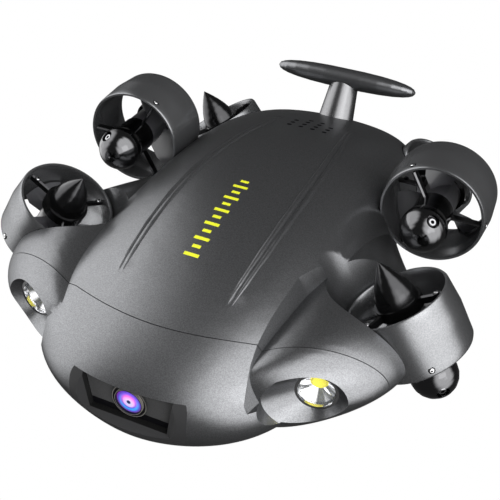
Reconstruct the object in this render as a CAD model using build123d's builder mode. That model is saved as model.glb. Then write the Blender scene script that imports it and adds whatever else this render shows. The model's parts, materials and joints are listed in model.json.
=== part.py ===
from build123d import *
import math
import os

os.makedirs("parts", exist_ok=True)

# Underwater inspection vehicle, in millimetres, +Z up and the nose towards -Y.
# The origin is on the flat of the belly. The vehicle is symmetric about X = 0.

# Hull: reach of the nose and the tail, half-width, crown and wall
NOSE_REACH = 201.0
TAIL_REACH = 184.0
HULL_HALF_WIDTH = 95.0
HULL_CROWN = 121.5
HULL_WALL = 3.0
CROWN_Y = -31.0
CROWN_TAIL_BEND = 0.00097
NOSE_TIP_Z = 56.0
TAIL_TIP_Z = 66.0
KEEL_NOSE_Z = 48.0
KEEL_TAIL_Z = 58.0
WAIST_NOSE_Z = 51.0
WAIST_TAIL_Z = 65.0
NOSE_SHOULDER_Y = -120.0
TAIL_SHOULDER_Y = 20.0
KEEL_TAIL_Y = 70.0
CROWN_PULL = 0.64
KEEL_PULL = 0.47
KEEL_TRIM = 4.0
BELLY_THICK = 6.0
CAVITY_FRONT = 176.0
CAVITY_REAR = 150.0

# Shoulder lobes that carry the lamps and the front thrusters
SHOULDER_FRONT_Y = -168.0
SHOULDER_WIDEST_Y = -85.0
SHOULDER_REAR_Y = 75.0
SHOULDER_REACH = 100.0
SHOULDER_INNER_X = 45.0
SHOULDER_Z = 62.0
SHOULDER_RISE = 33.0
SHOULDER_DROP = 42.0
SHOULDER_DROP_PULL = 0.25
SHOULDER_TAIL_SHARE = 0.4
SHOULDER_TAIL_RISE = 0.5

# Valley between the spine and each shoulder: y, distance from the middle and depth along its edge
VALLEY_EDGE = [(-200.0, 72.0, 2.0), (-176.0, 67.5, 5.0), (-160.0, 63.6, 20.0), (-148.0, 62.5, 30.0),
               (-130.0, 62.8, 34.0), (-110.0, 64.2, 34.0), (-92.0, 65.5, 34.0), (-76.0, 71.0, 30.0),
               (-60.0, 80.0, 26.0), (-40.0, 99.0, 20.0)]
VALLEY_SLOPE = 0.53
VALLEY_OUTER_X = 160.0
VALLEY_ABOVE = 40.0

# Joint line between the nose shell and the shells behind it, and between upper and lower shell
SEAM_MIDDLE_Y = -162.7
SEAM_KINK_X = 63.0
SEAM_KINK_Y = -148.0
SEAM_END_X = 160.0
SEAM_END_Y = -112.0
SEAM_GAP = 0.5
WAIST_Z = 56.0
WAIST_GAP = 0.2

# Double rib on each side of the top
RIB_HEIGHT = 1.3
RIB_WIDTH = 4.6
RIB_PITCH = 4.8
RIB_SINK = 0.35
RIB_ROOT = 1.4
RIB_CLOSING = 0.4
RIB_THINNING = 0.35
RIB_CREST_SHARE = 0.33
RIB_SHARES = [0.0, 0.04, 0.1, 0.2, 0.32, 0.45, 0.58, 0.7, 0.8, 0.9, 0.96, 1.0]
RIB_FRONT_Y = -143.0
RIB_REAR_Y = 115.0
RIB_FRONT_X = 37.0
RIB_MIDDLE_X = 41.5
RIB_MIDDLE_Y = -45.0
RIB_REAR_X = 27.5

# Thrusters: rim centre on the motor side, the direction of the tail cone, and the rim radius
MID_X = 119.7
MID_Y = 20.0
MID_Z = 100.0
MID_RIM = 37.5
END_RIM = 35.2
FRONT_X = 145.1
FRONT_Y = -67.6
FRONT_Z = 53.7
FRONT_LEAN = 32.3
REAR_X = 77.4
REAR_Y = 135.1
REAR_Z = 34.4
REAR_LEAN = 33.4
DUCT_LENGTH = 42.3
DUCT_WALL = 2.8
DUCT_BULGE = 1.2
DUCT_FLARE = 1.8
BULGE_PLACE = 0.55
FLARE_SHARE = 0.28
SEAT_CLEARANCE = 0.1
SCOOP_LENGTH = 40.0
SCOOP_TAPER = 0.55

# Motor pod in front of each duct and the cone behind it
POD_RADIUS = 16.4
POD_BARREL_RADIUS = 13.6
POD_REACH = 18.8
POD_DEPTH = 8.0
DOME_ANGLES = [-34, -17, 0, 15, 30, 45, 60, 75, 90]
CONE_RADIUS = 14.1
CONE_REACH = 27.3
CONE_POWER = 1.6
CONE_SHARES = [0.0, 0.22, 0.42, 0.6, 0.77, 0.9, 1.0]
HUB_RING_RADIUS = 15.9
HUB_RING_LENGTH = 7.0
HUB_RING_BACK = 2.0
STRUT_THICK = 2.0
STRUT_DEPTH = 7.0
STRUT_SINK = 1.0
STRUT_INSET = 0.5
STRUT_COUNT = 3
POD_PORT_RADIUS = 4.6
POD_PORT_ANGLE = 62.0
POD_PORT_SWING = 60.0
POD_PORT_DEPTH = 4.0

# Propeller and its shaft
BLADE_COUNT = 3
BLADE_THICK = 1.6
BLADE_ROOT_CHORD = 16.0
BLADE_TIP_CHORD = 27.0
BLADE_ROOT_PITCH = 48.0
BLADE_TIP_PITCH = 27.0
BLADE_TIP_GAP = 1.0
BLADE_START = 30.0
BLADE_OVERLAP = 2.5
PROP_HUB_RADIUS = 13.0
PROP_END_GAP = 0.6
SHAFT_RADIUS = 2.5
SHAFT_CLEARANCE = 0.05
SHAFT_SEAT_DEPTH = 9.0
SHAFT_END_GAP = 0.5
GUARD_LOW = DUCT_LENGTH - HUB_RING_LENGTH - HUB_RING_BACK

# Lamps in the shoulders
LAMP_X = 99.9
LAMP_Y = -142.4
LAMP_Z = 62.3
LAMP_TURN = 10.8
LAMP_RING_RADIUS = 13.6
LAMP_RING_WALL = 1.8
LAMP_RING_LENGTH = 3.0
LAMP_CUP_DEPTH = 7.0
LAMP_BACK = 2.0
LAMP_CHIP_RADIUS = 4.0
LAMP_CHIP_THICK = 1.6
LAMP_WINDOW_THICK = 1.5
BOWL_HALF_WIDTH = 31.0
BOWL_HALF_HEIGHT = 22.0
BOWL_REACH = 14.0

# Camera in the nose
CAMERA_Z = 54.5
RECESS_FLOOR_Y = -188.5
RECESS_LIP_Y = -194.5
FLARE_REACH = 10.0
CHEEK_SPREAD = 20.0
SILL_SPREAD = 9.0
RECESS_TOP_WIDTH = 61.0
RECESS_BOTTOM_WIDTH = 53.0
RECESS_HEIGHT = 25.5
BEZEL_THICK = 2.0
BEZEL_CLEARANCE = 0.2
LENS_RING_RADIUS = 11.9
LENS_RADIUS = 8.6
LENS_RING_LENGTH = 2.4
RING_STEP = 1.4
RING_LIP = 0.9
LENS_DOME_RISE = 0.9
LENS_SEAT_DEPTH = 2.0
BARREL_RADIUS = 10.5
BARREL_LENGTH = 10.0
FIT_GAP = 0.1

# Tail handle
POST_BASE_Y = 157.0
POST_BASE_Z = 81.0
POST_TOP_Y = 173.5
POST_TOP_Z = 110.0
POST_BASE_RADIUS = 15.3
POST_TOP_RADIUS = 12.0
GRIP_HALF_LENGTH = 61.6
GRIP_POWER = 2.5
GRIP_WIDTH = 30.0
GRIP_THICK = 17.0
GRIP_SEAT_DEPTH = 4.0
STUD_RADIUS = 3.0
STUD_HULL_DEPTH = 9.0
STUD_GRIP_DEPTH = 5.0

# Belly: threaded holes for an accessory rail
BELLY_HOLE_SPACING_X = 36.0
BELLY_HOLE_SPACING_Y = 60.0
BELLY_HOLE_RADIUS = 2.1
BELLY_HOLE_DEPTH = 5.0
BELLY_CENTRE_Y = -20.0

# Inner pieces
CAN_RADIUS = 26.0
CAN_FRONT_Y = -128.0
CAN_REAR_Y = 4.0
CAN_FOOT_WIDTH = 34.0
PACK_WIDTH = 66.0
PACK_LENGTH = 62.0
PACK_HEIGHT = 36.0
PACK_FRONT_Y = 8.0
PACK_CORNER = 6.0
BOARD_THICK = 2.0
BOARD_WIDTH = 58.0
BOARD_LENGTH = 50.0

# Tether connector in the tail
INLET_RADIUS = 7.0
INLET_SEAT_DEPTH = 14.0
INLET_STAND_OUT = 5.0
INLET_BORE_RADIUS = 3.2
INLET_BORE_DEPTH = 9.0
INLET_Z = 64.5

# Places of the cross-sections, as shares of the reach from the middle to the nose and to the tail
NOSE_SHARES = [0.997, 0.982, 0.951, 0.897, 0.813, 0.69, 0.517, 0.296]
TAIL_SHARES = [-0.055, 0.222, 0.472, 0.667, 0.817, 0.917, 0.972, 0.997]
STATIONS = [-NOSE_REACH * share for share in NOSE_SHARES] + [TAIL_REACH * share for share in TAIL_SHARES]


def fall(share, start, end):
    """Rounded fall from 1 at share 0 to 0 at share 1, squarer as the powers rise."""
    if share <= 0:
        return 1.0
    return (1.0 - share ** start) ** (1.0 / end)


def hull_width(y):
    """Half-width of the hull at y."""
    nose = fall((NOSE_SHOULDER_Y - y) / (NOSE_REACH + NOSE_SHOULDER_Y), 2.2, 2.2)
    tail = fall((y - TAIL_SHOULDER_Y) / (TAIL_REACH - TAIL_SHOULDER_Y), 3.2, 2.7)
    return HULL_HALF_WIDTH * nose * tail


def hull_crown(y):
    """Height of the top at y, on the middle line."""
    if y < CROWN_Y:
        return NOSE_TIP_Z + (HULL_CROWN - NOSE_TIP_Z) * fall((CROWN_Y - y) / (NOSE_REACH + CROWN_Y), 1.8, 1.7)
    slope = HULL_CROWN - CROWN_TAIL_BEND * (y - CROWN_Y) ** 2
    return TAIL_TIP_Z + (slope - TAIL_TIP_Z) * fall((y - CROWN_Y) / (TAIL_REACH - CROWN_Y), 16.0, 2.2)


def hull_keel(y):
    """Height of the underside at y, before the belly is trimmed flat."""
    nose = 1.0 - fall((NOSE_SHOULDER_Y - y) / (NOSE_REACH + NOSE_SHOULDER_Y), 1.9, 1.9)
    tail = 1.0 - fall((y - KEEL_TAIL_Y) / (TAIL_REACH - KEEL_TAIL_Y), 1.3, 1.3)
    return (KEEL_NOSE_Z + KEEL_TRIM) * nose + (KEEL_TAIL_Z + KEEL_TRIM) * tail - KEEL_TRIM


def hull_waist(y):
    """Height of the widest line at y."""
    return WAIST_NOSE_Z + (WAIST_TAIL_Z - WAIST_NOSE_Z) * (y + NOSE_REACH) / (NOSE_REACH + TAIL_REACH)


def section(y, centre, half, waist, top, bottom, top_pull, bottom_pull):
    """Closed cross-section of four quarter curves on the plane at y."""
    left = centre - half
    right = centre + half
    with BuildSketch(Plane.XZ.offset(-y)) as face:
        with BuildLine():
            for rim, pull in ((top, top_pull), (bottom, bottom_pull)):
                for side in (left, right):
                    Bezier((side, waist), (side, waist + (rim - waist) * pull),
                           (centre + (side - centre) * pull, rim), (centre, rim))
        make_face()
    return face.sketch


def hull_loft(inset, places):
    """Hull skin through the given places, drawn inset from the outside."""
    with BuildPart() as body:
        for y in places:
            add(section(y, 0, hull_width(y) - inset, hull_waist(y), hull_crown(y) - inset,
                        hull_keel(y) + inset, CROWN_PULL, KEEL_PULL))
        loft()
    return body.part


def shoulder_loft(side):
    """Lobe beside the nose, widest at the front thruster and fading into the flank."""
    front = SHOULDER_WIDEST_Y - SHOULDER_FRONT_Y
    rear = SHOULDER_REAR_Y - SHOULDER_WIDEST_Y
    with BuildPart() as lobe:
        for share in (-0.995, -0.95, -0.84, -0.65, -0.35, 0.0, 0.2, 0.4, 0.6, 0.8, 1.0):
            if share < 0:
                y = SHOULDER_WIDEST_Y + share * front
                reach = SHOULDER_REACH * fall(-share, 2.2, 2.2)
                height = fall(-share, 2.2, 3.0)
            else:
                y = SHOULDER_WIDEST_Y + share * rear
                ease = (1 - math.cos(math.pi * share)) / 2
                reach = SHOULDER_REACH * (1 - (1 - SHOULDER_TAIL_SHARE) * ease)
                height = 1 - (1 - SHOULDER_TAIL_RISE) * ease
            centre = side * (SHOULDER_INNER_X + reach / 2)
            add(section(y, centre, reach / 2, SHOULDER_Z, SHOULDER_Z + SHOULDER_RISE * height,
                        SHOULDER_Z - SHOULDER_DROP * height, KEEL_PULL, SHOULDER_DROP_PULL))
        loft()
    return lobe.part


class Thruster:
    """Place of one thruster: local z runs from its motor pod to its tail cone."""

    def __init__(self, name, side, place, lean, rim, out_sign):
        self.name = name
        self.side = side
        self.rim = rim
        tilt = math.radians(lean)
        if name.startswith("mid"):
            axis = (0, 1, 0)
            outward = (side, 0, 0)
        else:
            axis = (out_sign * side * math.sin(tilt), 0, math.cos(tilt))
            outward = (side * math.cos(tilt), 0, -out_sign * math.sin(tilt))
        self.plane = Plane(origin=(side * place[0], place[1], place[2]), x_dir=outward, z_dir=axis)
        self.axis = Axis(self.plane.origin, self.plane.z_dir)
        # The profile plane holds the axis as its own y direction
        self.profile = Plane(origin=self.plane.origin, x_dir=outward,
                             z_dir=self.plane.x_dir.cross(self.plane.z_dir))
        self.cone_struts = 0.0 if not name.startswith("mid") else 60.0
        self.pod_struts = 60.0 - self.cone_struts


THRUSTERS = []
for hand, sign in (("right", 1), ("left", -1)):
    THRUSTERS.append(Thruster("front_" + hand, sign, (FRONT_X, FRONT_Y, FRONT_Z), FRONT_LEAN, END_RIM, -1))
    THRUSTERS.append(Thruster("mid_" + hand, sign, (MID_X, MID_Y, MID_Z), 0.0, MID_RIM, 0))
    THRUSTERS.append(Thruster("rear_" + hand, sign, (REAR_X, REAR_Y, REAR_Z), REAR_LEAN, END_RIM, 1))


def duct_part(t):
    """Duct ring with a bulged barrel, bevelled lips and flared mouths."""
    outer = t.rim
    inner = outer - DUCT_WALL
    lip = DUCT_WALL / 2
    bore = bore_radius(t)
    with BuildPart() as duct:
        with BuildSketch(t.profile):
            with BuildLine():
                Polyline((outer, lip), (outer + DUCT_BULGE, DUCT_LENGTH * BULGE_PLACE),
                         (outer, DUCT_LENGTH - lip), (outer - lip / 2, DUCT_LENGTH),
                         (inner + lip / 2, DUCT_LENGTH), (inner, DUCT_LENGTH - lip),
                         (bore, DUCT_LENGTH * (1 - FLARE_SHARE)), (bore, DUCT_LENGTH * FLARE_SHARE),
                         (inner, lip), (inner + lip / 2, 0), (outer - lip / 2, 0), close=True)
            make_face()
        revolve(axis=t.axis)
    return duct.part


def bore_radius(t):
    return t.rim - DUCT_WALL - DUCT_FLARE


def vane(t, angle, low, high, inner, outer):
    """One radial vane across the duct, drawn on the plane that looks outward along it."""
    turn = math.radians(angle)
    out = t.plane.x_dir * math.cos(turn) + t.plane.y_dir * math.sin(turn)
    base = Plane(origin=t.plane.origin + t.plane.z_dir * ((low + high) / 2) + out * inner,
                 x_dir=t.plane.z_dir, z_dir=out)
    with BuildPart() as piece:
        with BuildSketch(base):
            with BuildLine():
                nose = STRUT_THICK / 2
                half = (high - low) / 2
                Polyline((-half, 0), (-half + nose, -nose), (half - nose, -nose), (half, 0),
                         (half - nose, nose), (-half + nose, nose), close=True)
            make_face()
        extrude(amount=outer - inner)
    return piece.part


def dome_point(angle):
    """Point on the pod's round nose, from its barrel at 0 to its tip at 90 degrees."""
    turn = math.radians(angle)
    return (POD_RADIUS * math.cos(turn), -POD_REACH - POD_RADIUS * math.sin(turn))


def pod_part(t):
    """Motor pod: barrel, ball nose, port and the vanes that hold it in the duct."""
    with BuildPart() as pod:
        with BuildSketch(t.profile):
            with BuildLine():
                Polyline((0, POD_DEPTH), (POD_BARREL_RADIUS, POD_DEPTH), dome_point(DOME_ANGLES[0]))
                for low, high in zip(DOME_ANGLES, DOME_ANGLES[1:]):
                    Line(dome_point(low), dome_point(high))
                Line((0, -POD_REACH - POD_RADIUS), (0, POD_DEPTH))
            make_face()
        revolve(axis=t.axis)
        for number in range(STRUT_COUNT):
            angle = t.pod_struts + 360.0 * number / STRUT_COUNT
            add(vane(t, angle, POD_DEPTH - STRUT_INSET - STRUT_DEPTH, POD_DEPTH - STRUT_INSET,
                     POD_BARREL_RADIUS - STRUT_SINK, t.rim - DUCT_WALL - STRUT_SINK))
        add(duct_part(t), mode=Mode.SUBTRACT)
        # Port between two vanes, sunk square to the ball
        turn = math.radians(POD_PORT_ANGLE)
        swing = math.radians(POD_PORT_SWING)
        across = t.plane.x_dir * math.cos(swing) - t.plane.y_dir * (t.side * math.sin(swing))
        out = across * math.sin(turn) - t.plane.z_dir * math.cos(turn)
        centre = t.plane.origin - t.plane.z_dir * POD_REACH
        with BuildSketch(Plane(origin=centre + out * (POD_RADIUS - POD_PORT_DEPTH), z_dir=out)):
            Circle(POD_PORT_RADIUS)
        extrude(amount=POD_PORT_DEPTH * 2, mode=Mode.SUBTRACT)
        with BuildSketch(t.plane.offset(POD_DEPTH)):
            Circle(SHAFT_RADIUS + SHAFT_CLEARANCE)
        extrude(amount=-SHAFT_SEAT_DEPTH, mode=Mode.SUBTRACT)
    return pod.part


def cone_radius(share):
    """Radius of the tail cone at a share of its length."""
    return CONE_RADIUS * (1 - share ** CONE_POWER)


def guard_part(t):
    """Tail guard: pointed cone on a hub ring, with the vanes that hold it in the duct."""
    ring_low = GUARD_LOW
    ring_high = ring_low + HUB_RING_LENGTH
    tip = DUCT_LENGTH + CONE_REACH
    with BuildPart() as guard:
        with BuildSketch(t.profile):
            with BuildLine():
                Polyline((0, ring_low), (HUB_RING_RADIUS, ring_low), (HUB_RING_RADIUS, ring_high),
                         (CONE_RADIUS, ring_high))
                for low_share, high_share in zip(CONE_SHARES, CONE_SHARES[1:]):
                    Line((cone_radius(low_share), ring_high + (tip - ring_high) * low_share),
                         (cone_radius(high_share), ring_high + (tip - ring_high) * high_share))
                Line((0, tip), (0, ring_low))
            make_face()
        revolve(axis=t.axis)
        for number in range(STRUT_COUNT):
            angle = t.cone_struts + 360.0 * number / STRUT_COUNT
            add(vane(t, angle, ring_low + STRUT_INSET, ring_high - STRUT_INSET, HUB_RING_RADIUS - STRUT_SINK,
                     t.rim - DUCT_WALL - STRUT_SINK))
        add(duct_part(t), mode=Mode.SUBTRACT)
        with BuildSketch(t.plane.offset(ring_low)):
            Circle(SHAFT_RADIUS + SHAFT_CLEARANCE)
        extrude(amount=SHAFT_SEAT_DEPTH, mode=Mode.SUBTRACT)
    return guard.part


def blade_part(t, angle, middle, tip):
    """One twisted blade, lofted from a steep root to a flatter, wider tip and mirrored from side to side."""
    turn = math.radians(angle) * t.side
    out = t.plane.x_dir * math.cos(turn) + t.plane.y_dir * math.sin(turn)
    across = t.plane.z_dir.cross(out)
    centre = t.plane.origin + t.plane.z_dir * middle
    with BuildPart() as blade:
        for reach, chord, pitch in (
            (PROP_HUB_RADIUS - BLADE_OVERLAP, BLADE_ROOT_CHORD, BLADE_ROOT_PITCH),
            ((PROP_HUB_RADIUS + tip) / 2, BLADE_TIP_CHORD, (BLADE_ROOT_PITCH + BLADE_TIP_PITCH) / 2),
            (tip + BLADE_OVERLAP, BLADE_TIP_CHORD, BLADE_TIP_PITCH),
        ):
            slope = math.radians(pitch) * t.side
            along = across * math.cos(slope) + t.plane.z_dir * math.sin(slope)
            with BuildSketch(Plane(origin=centre + out * reach, x_dir=along, z_dir=out)):
                with BuildLine():
                    Polyline((-t.side * chord / 2, 0), (-t.side * chord / 5, BLADE_THICK),
                             (t.side * chord / 4, BLADE_THICK), (t.side * chord / 2, 0), close=True)
                make_face()
        loft(ruled=True)
    return blade.part


def propeller_part(t):
    """Propeller: hub drum and twisted blades, trimmed round at the tips."""
    low = POD_DEPTH + PROP_END_GAP
    high = GUARD_LOW - PROP_END_GAP
    tip = bore_radius(t) - BLADE_TIP_GAP
    with BuildPart() as propeller:
        with BuildSketch(t.plane.offset(low)):
            Circle(PROP_HUB_RADIUS)
        extrude(amount=high - low)
        for number in range(BLADE_COUNT):
            add(blade_part(t, BLADE_START + 360.0 * number / BLADE_COUNT, (low + high) / 2, tip))
        with BuildSketch(t.plane.offset(low)):
            Circle(tip)
        extrude(amount=high - low, mode=Mode.INTERSECT)
        with BuildSketch(t.plane.offset(low)):
            Circle(SHAFT_RADIUS)
        extrude(amount=high - low, mode=Mode.SUBTRACT)
    return propeller.part


def shaft_part(t):
    """Shaft from the pod's bearing, through the hub, to the guard's bush."""
    low = POD_DEPTH - SHAFT_SEAT_DEPTH + SHAFT_END_GAP
    high = GUARD_LOW + SHAFT_SEAT_DEPTH - SHAFT_END_GAP
    with BuildPart() as shaft:
        with BuildSketch(t.plane.offset(low)):
            Circle(SHAFT_RADIUS)
        extrude(amount=high - low)
    return shaft.part


def duct_room(t, extra, before, after):
    """Room that a duct needs in the hull, with the open way before and after it."""
    with BuildPart() as room:
        with BuildSketch(t.plane.offset(-before)):
            Circle(t.rim + DUCT_BULGE + extra)
        extrude(amount=DUCT_LENGTH + before + after)
    return room.part


def scoop_room(t, extra):
    """Seat of a mid duct in the flank, with a tapered way before and after it."""
    reach = t.rim + DUCT_BULGE + extra
    mouth = bore_radius(t) + extra
    with BuildPart() as scoop:
        with BuildSketch(t.profile):
            with BuildLine():
                Polyline((0, -SCOOP_LENGTH), (mouth * SCOOP_TAPER, -SCOOP_LENGTH), (mouth, -SEAT_CLEARANCE),
                         (reach, -SEAT_CLEARANCE), (reach, DUCT_LENGTH + SEAT_CLEARANCE),
                         (mouth, DUCT_LENGTH + SEAT_CLEARANCE), (mouth * SCOOP_TAPER, DUCT_LENGTH + SCOOP_LENGTH),
                         (0, DUCT_LENGTH + SCOOP_LENGTH), close=True)
            make_face()
        revolve(axis=t.axis)
    return scoop.part


def room_of(t, extra):
    """Whole room of one thruster in the hull."""
    if t.name.startswith("mid"):
        return scoop_room(t, extra)
    return duct_room(t, extra, 60, 70)


def skin_height(x, y):
    """Height of the hull's top at a place in plan, from its quarter curve."""
    half = hull_width(y)
    waist = hull_waist(y)
    top = hull_crown(y)
    low, high = 0.0, 1.0
    for step in range(40):
        t = (low + high) / 2
        reach = half * ((1 - t) ** 3 + 3 * t * (1 - t) ** 2 + 3 * t ** 2 * (1 - t) * CROWN_PULL)
        if reach > abs(x):
            low = t
        else:
            high = t
    shoulder = waist + (top - waist) * CROWN_PULL
    return waist * (1 - t) ** 3 + shoulder * 3 * t * (1 - t) ** 2 + top * (3 * t ** 2 * (1 - t) + t ** 3)


def valley_wedge(side, extra):
    """Everything outboard of the spine's side wall, moved inwards by extra."""
    with BuildPart() as wedge:
        for y, reach, depth in VALLEY_EDGE:
            edge = reach - extra
            top = skin_height(edge, y)
            foot = edge + VALLEY_SLOPE * depth
            with BuildSketch(Plane.XZ.offset(-y)):
                with BuildLine():
                    Polyline((side * edge, top), (side * foot, top - depth),
                             (side * VALLEY_OUTER_X, top - depth), (side * VALLEY_OUTER_X, top + VALLEY_ABOVE),
                             (side * edge, top + VALLEY_ABOVE), close=True)
                make_face()
        loft(ruled=True)
    return wedge.part


def rib_x(y):
    """Distance of a double rib from the middle plane at y."""
    share = (y - RIB_MIDDLE_Y) / ((RIB_REAR_Y if y > RIB_MIDDLE_Y else RIB_FRONT_Y) - RIB_MIDDLE_Y)
    end = RIB_REAR_X if y > RIB_MIDDLE_Y else RIB_FRONT_X
    return RIB_MIDDLE_X + (end - RIB_MIDDLE_X) * share ** 2


def rib_part(side, offset):
    """One soft ridge along the top, fading into the skin at both ends."""
    with BuildPart() as rib:
        for share in RIB_SHARES:
            y = RIB_FRONT_Y + (RIB_REAR_Y - RIB_FRONT_Y) * share
            swell = math.sin(math.pi * share) ** 0.5
            x = side * (rib_x(y) + offset * (RIB_CLOSING + (1 - RIB_CLOSING) * swell))
            half = RIB_WIDTH / 2 * (RIB_THINNING + (1 - RIB_THINNING) * swell)
            flat = half * RIB_CREST_SHARE
            left = skin_height(x - half, y)
            right = skin_height(x + half, y)
            crest = skin_height(x, y) + RIB_HEIGHT * swell - RIB_SINK * (1 - swell)
            with BuildSketch(Plane.XZ.offset(-y)):
                with BuildLine():
                    Polyline((x - half, left - RIB_SINK), (x - flat, crest), (x + flat, crest),
                             (x + half, right - RIB_SINK), (x, (left + right) / 2 - RIB_ROOT), close=True)
                make_face()
        loft(ruled=True)
    return rib.part


def seam_region(shift):
    """Plan area in front of the nose joint, moved back by shift, full height."""
    with BuildPart() as region:
        with BuildSketch(Plane.XY.offset(-5)):
            with BuildLine():
                Polyline((SEAM_KINK_X, SEAM_KINK_Y + shift), (SEAM_END_X, SEAM_END_Y + shift),
                         (SEAM_END_X, -NOSE_REACH - 20), (-SEAM_END_X, -NOSE_REACH - 20),
                         (-SEAM_END_X, SEAM_END_Y + shift), (-SEAM_KINK_X, SEAM_KINK_Y + shift))
                ThreePointArc((-SEAM_KINK_X, SEAM_KINK_Y + shift), (0, SEAM_MIDDLE_Y + shift),
                              (SEAM_KINK_X, SEAM_KINK_Y + shift))
            make_face()
        extrude(amount=HULL_CROWN + 20)
    return region.part


def slab(low, high):
    """Flat block over the whole plan between two heights."""
    with BuildPart() as block:
        with BuildSketch(Plane.XY.offset(low)):
            Rectangle(HULL_HALF_WIDTH * 4, (NOSE_REACH + TAIL_REACH) * 1.3)
        extrude(amount=high - low)
    return block.part


def lamp_plane(side):
    """Plane of a lamp's ring face, looking out along the lamp's axis."""
    turn = math.radians(LAMP_TURN)
    return Plane(origin=(side * LAMP_X, LAMP_Y, LAMP_Z), x_dir=(side * math.cos(turn), math.sin(turn), 0),
                 z_dir=(side * math.sin(turn), -math.cos(turn), 0))


LAMP_DEPTH = LAMP_RING_LENGTH + LAMP_CUP_DEPTH + LAMP_BACK


def lamp_room(side, extra):
    """Flared bowl in front of a lamp and the bore that holds its cup, grown by extra."""
    face = lamp_plane(side).offset(-extra)
    with BuildPart() as room:
        with BuildSketch(face):
            Ellipse(LAMP_RING_RADIUS + extra, LAMP_RING_RADIUS + extra)
        with BuildSketch(face.offset(BOWL_REACH)):
            Ellipse(BOWL_HALF_WIDTH + extra, BOWL_HALF_HEIGHT + extra)
        loft()
        with BuildSketch(face.offset(BOWL_REACH)):
            Ellipse(BOWL_HALF_WIDTH + extra, BOWL_HALF_HEIGHT + extra)
        extrude(amount=BOWL_REACH * 2)
        with BuildSketch(face.offset(-LAMP_DEPTH)):
            Circle(LAMP_RING_RADIUS + extra)
        extrude(amount=LAMP_DEPTH)
    return room.part


def lamp_profile(side):
    """Plane through a lamp's axis: x across, y out along the axis."""
    face = lamp_plane(side)
    return Plane(origin=face.origin, x_dir=face.x_dir, z_dir=face.x_dir.cross(face.z_dir))


def lamp_cup(side):
    """Lamp body: outer ring, seat for the window and polished reflector cone."""
    face = lamp_plane(side)
    mouth = LAMP_RING_RADIUS - LAMP_RING_WALL
    with BuildPart() as cup:
        with BuildSketch(lamp_profile(side)):
            with BuildLine():
                Polyline((0, -LAMP_DEPTH), (LAMP_RING_RADIUS - FIT_GAP, -LAMP_DEPTH),
                         (LAMP_RING_RADIUS - FIT_GAP, 0), (mouth, 0), (mouth, -LAMP_RING_LENGTH),
                         (mouth - LAMP_RING_WALL / 2, -LAMP_RING_LENGTH),
                         (LAMP_CHIP_RADIUS + FIT_GAP, -LAMP_RING_LENGTH - LAMP_CUP_DEPTH),
                         (0, -LAMP_RING_LENGTH - LAMP_CUP_DEPTH), close=True)
            make_face()
        revolve(axis=Axis(face.origin, face.z_dir))
    return cup.part


def lamp_disc(side, radius, low, thick):
    """Round disc on a lamp's axis, from low outwards."""
    with BuildPart() as disc:
        with BuildSketch(lamp_plane(side).offset(low)):
            Circle(radius)
        extrude(amount=thick)
    return disc.part


def recess_prism(front_y, back_y, shrink):
    """Trapezoid prism of the camera recess between two places."""
    half_top = RECESS_TOP_WIDTH / 2 - shrink
    half_bottom = RECESS_BOTTOM_WIDTH / 2 - shrink
    top = CAMERA_Z + RECESS_HEIGHT / 2 - shrink
    bottom = CAMERA_Z - RECESS_HEIGHT / 2 + shrink
    with BuildPart() as prism:
        with BuildSketch(Plane.XZ.offset(-back_y)):
            with BuildLine():
                Polyline((-half_top, top), (half_top, top), (half_bottom, bottom), (-half_bottom, bottom),
                         close=True)
            make_face()
        extrude(amount=back_y - front_y)
    return prism.part


def recess_flare():
    """Sloping cheeks and sill in front of the camera recess."""
    with BuildPart() as flare:
        for y, side, down in ((RECESS_LIP_Y, 0, 0), (RECESS_LIP_Y - FLARE_REACH, CHEEK_SPREAD, SILL_SPREAD)):
            top = CAMERA_Z + RECESS_HEIGHT / 2
            bottom = CAMERA_Z - RECESS_HEIGHT / 2 - down
            half_top = RECESS_TOP_WIDTH / 2 + side
            half_bottom = RECESS_BOTTOM_WIDTH / 2 + side
            with BuildSketch(Plane.XZ.offset(-y)):
                with BuildLine():
                    Polyline((-half_top, top), (half_top, top), (half_bottom, bottom), (-half_bottom, bottom),
                             close=True)
                make_face()
        loft(ruled=True)
    return flare.part


def nose_cylinder(radius, back_y, front_y):
    """Cylinder on the camera's axis between two places."""
    with BuildPart() as rod:
        with BuildSketch(Plane.XZ.offset(-back_y)):
            with Locations((0, CAMERA_Z)):
                Circle(radius)
        extrude(amount=back_y - front_y)
    return rod.part


POST_AXIS = Vector(0, POST_TOP_Y - POST_BASE_Y, POST_TOP_Z - POST_BASE_Z)
POST_LENGTH = POST_AXIS.length
POST_PLANE = Plane(origin=(0, POST_BASE_Y, POST_BASE_Z), x_dir=(1, 0, 0), z_dir=POST_AXIS)


def post_cylinder(radius, low, high):
    """Cylinder on the handle post's axis."""
    with BuildPart() as rod:
        with BuildSketch(POST_PLANE.offset(low)):
            Circle(radius)
        extrude(amount=high - low)
    return rod.part


def post_cone(extra):
    """Tapered post of the handle."""
    with BuildPart() as cone:
        with BuildSketch(POST_PLANE):
            Circle(POST_BASE_RADIUS + extra)
        with BuildSketch(POST_PLANE.offset(POST_LENGTH)):
            Circle(POST_TOP_RADIUS + extra)
        loft(ruled=True)
    return cone.part


def write(part, name):
    part.label = name
    export_step(part, "parts/" + name + ".step")


CAVITY_STATIONS = [y for y in STATIONS if -CAVITY_FRONT < y < CAVITY_REAR]

# Cavity inside the shells, kept a wall away from every duct
with BuildPart() as cavity:
    add(hull_loft(HULL_WALL, CAVITY_STATIONS))
    add(slab(BELLY_THICK, HULL_CROWN * 2), mode=Mode.INTERSECT)
    for t in THRUSTERS:
        add(room_of(t, HULL_WALL), mode=Mode.SUBTRACT)
    for sign in (1, -1):
        add(lamp_room(sign, HULL_WALL), mode=Mode.SUBTRACT)
        add(valley_wedge(sign, HULL_WALL), mode=Mode.SUBTRACT)

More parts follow.
